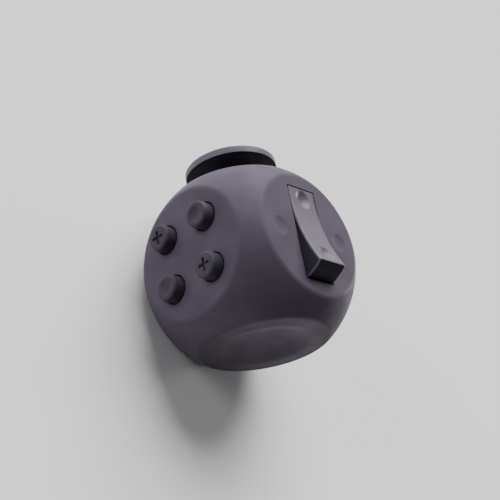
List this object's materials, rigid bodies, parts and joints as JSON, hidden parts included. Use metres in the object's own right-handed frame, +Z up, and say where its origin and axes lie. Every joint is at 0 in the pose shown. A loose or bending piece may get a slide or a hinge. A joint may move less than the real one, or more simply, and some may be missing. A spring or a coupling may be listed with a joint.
{
  "type": "fidget cube",
  "caption": "Ball-cornered fidget cube: push buttons, a rocker switch, a thumb stick, thumb wheels with a pressing ball, a spin dial and a smooth thumb dish on its flat round faces.",
  "frame": {"origin": "centre of the flat round face that the cube rests on, the spin dial's face; the ball's centre is 16.5 mm above it", "axes": "+Z up through the rocker's face, -Y out of the thumb stick's face, +X out of the four buttons' face, +Y out of the thumb dish, -X out of the wheels' face"},
  "size_m": [0.0366, 0.0398, 0.0369],
  "materials": {
    "soft_black_plastic": "soft-touch matte",
    "button_plastic": "fine satin",
    "rocker_plastic": "fine satin",
    "dark_inner_plastic": "moulded",
    "white_inner_plastic": "natural acetal",
    "steel": "drawn",
    "spring_steel": "bright",
    "polished_steel": "polished",
    "clear_rubber": "matte"
  },
  "bodies": {
    "body": {"front_shell": "soft_black_plastic", "rear_shell": "soft_black_plastic", "snap_dome_upper": "spring_steel", "snap_dome_lower": "spring_steel", "rubber_dome_upper": "clear_rubber", "rubber_dome_lower": "clear_rubber", "button_backplate": "dark_inner_plastic", "button_backplate_screws": "steel", "rocker_pin": "steel", "rocker_spring": "spring_steel", "rocker_cradle": "white_inner_plastic", "rocker_cradle_screws": "steel", "gimbal_pins": "steel", "stick_housing": "dark_inner_plastic", "stick_spring": "spring_steel", "stick_housing_screws": "steel", "wheel_axle": "steel", "roller_bracket": "dark_inner_plastic", "roller_bracket_screws": "steel", "ball_snap_dome": "spring_steel", "detent_spring": "spring_steel", "detent_spring_screw": "steel"},
    "click_button_upper": {"click_button_upper": "button_plastic"},
    "click_button_lower": {"click_button_lower": "button_plastic"},
    "soft_button_upper": {"soft_button_upper": "button_plastic"},
    "soft_button_lower": {"soft_button_lower": "button_plastic"},
    "rocker": {"rocker": "rocker_plastic"},
    "gimbal": {"gimbal_ring": "dark_inner_plastic"},
    "stick": {"thumb_disc": "rocker_plastic", "stick_stem": "button_plastic", "stick_cross_pin": "steel"},
    "wheel_upper": {"wheel_upper": "button_plastic"},
    "wheel_middle": {"wheel_middle": "button_plastic"},
    "wheel_lower": {"wheel_lower": "button_plastic"},
    "ball_seat": {"ball_cup": "white_inner_plastic"},
    "ball": {"steel_ball": "polished_steel"},
    "dial": {"spin_dial": "button_plastic", "click_wheel": "white_inner_plastic", "dial_screw": "steel"}
  },
  "joints": [
    {"name": "click_button_upper_press", "type": "slide", "parent": "body", "child": "click_button_upper", "axis": [-1, 0, 0], "range_m": [0, 0.0004], "stiffness_N_per_m": 3000, "springref_m": -0.0003, "deforming": ["snap_dome_upper"]},
    {"name": "click_button_lower_press", "type": "slide", "parent": "body", "child": "click_button_lower", "axis": [-1, 0, 0], "range_m": [0, 0.0004], "stiffness_N_per_m": 3000, "springref_m": -0.0003, "deforming": ["snap_dome_lower"]},
    {"name": "soft_button_upper_press", "type": "slide", "parent": "body", "child": "soft_button_upper", "axis": [-1, 0, 0], "range_m": [0, 0.0011], "stiffness_N_per_m": 1200, "springref_m": -0.0003, "deforming": ["rubber_dome_upper"]},
    {"name": "soft_button_lower_press", "type": "slide", "parent": "body", "child": "soft_button_lower", "axis": [-1, 0, 0], "range_m": [0, 0.0011], "stiffness_N_per_m": 1200, "springref_m": -0.0003, "deforming": ["rubber_dome_lower"]},
    {"name": "rocker_tilt", "type": "hinge", "parent": "body", "child": "rocker", "pos_m": [0, 0, 0.0303], "axis": [1, 0, 0], "range_deg": [-24.8, 0], "deforming": ["rocker_spring"]},
    {"name": "stick_up_down", "type": "hinge", "parent": "body", "child": "gimbal", "pos_m": [0, -0.0115, 0.0165], "axis": [1, 0, 0], "range_deg": [-15, 15], "stiffness_Nm_per_rad": 0.045, "deforming": ["stick_spring"]},
    {"name": "stick_left_right", "type": "hinge", "parent": "gimbal", "child": "stick", "pos_m": [0, -0.0115, 0.0165], "axis": [0, 0, 1], "range_deg": [-15, 15], "stiffness_Nm_per_rad": 0.045, "deforming": ["stick_spring"]},
    {"name": "wheel_upper_spin", "type": "hinge", "parent": "body", "child": "wheel_upper", "pos_m": [-0.0132, -0.0042, 0.0201], "axis": [0, 0, 1], "continuous": true},
    {"name": "wheel_middle_spin", "type": "hinge", "parent": "body", "child": "wheel_middle", "pos_m": [-0.0132, -0.0042, 0.0165], "axis": [0, 0, 1], "continuous": true},
    {"name": "wheel_lower_spin", "type": "hinge", "parent": "body", "child": "wheel_lower", "pos_m": [-0.0132, -0.0042, 0.0129], "axis": [0, 0, 1], "continuous": true},
    {"name": "ball_press", "type": "slide", "parent": "body", "child": "ball_seat", "axis": [1, 0, 0], "range_m": [0, 0.0006], "stiffness_N_per_m": 3000, "springref_m": -0.0003, "deforming": ["ball_snap_dome"]},
    {"name": "ball_roll", "type": "hinge", "parent": "ball_seat", "child": "ball", "pos_m": [-0.0141, 0.0056, 0.0165], "axis": [0, 0, 1], "continuous": true},
    {"name": "dial_spin", "type": "hinge", "parent": "body", "child": "dial", "pos_m": [0, 0, 0], "axis": [0, 0, 1], "continuous": true, "deforming": ["detent_spring"]}
  ]
}
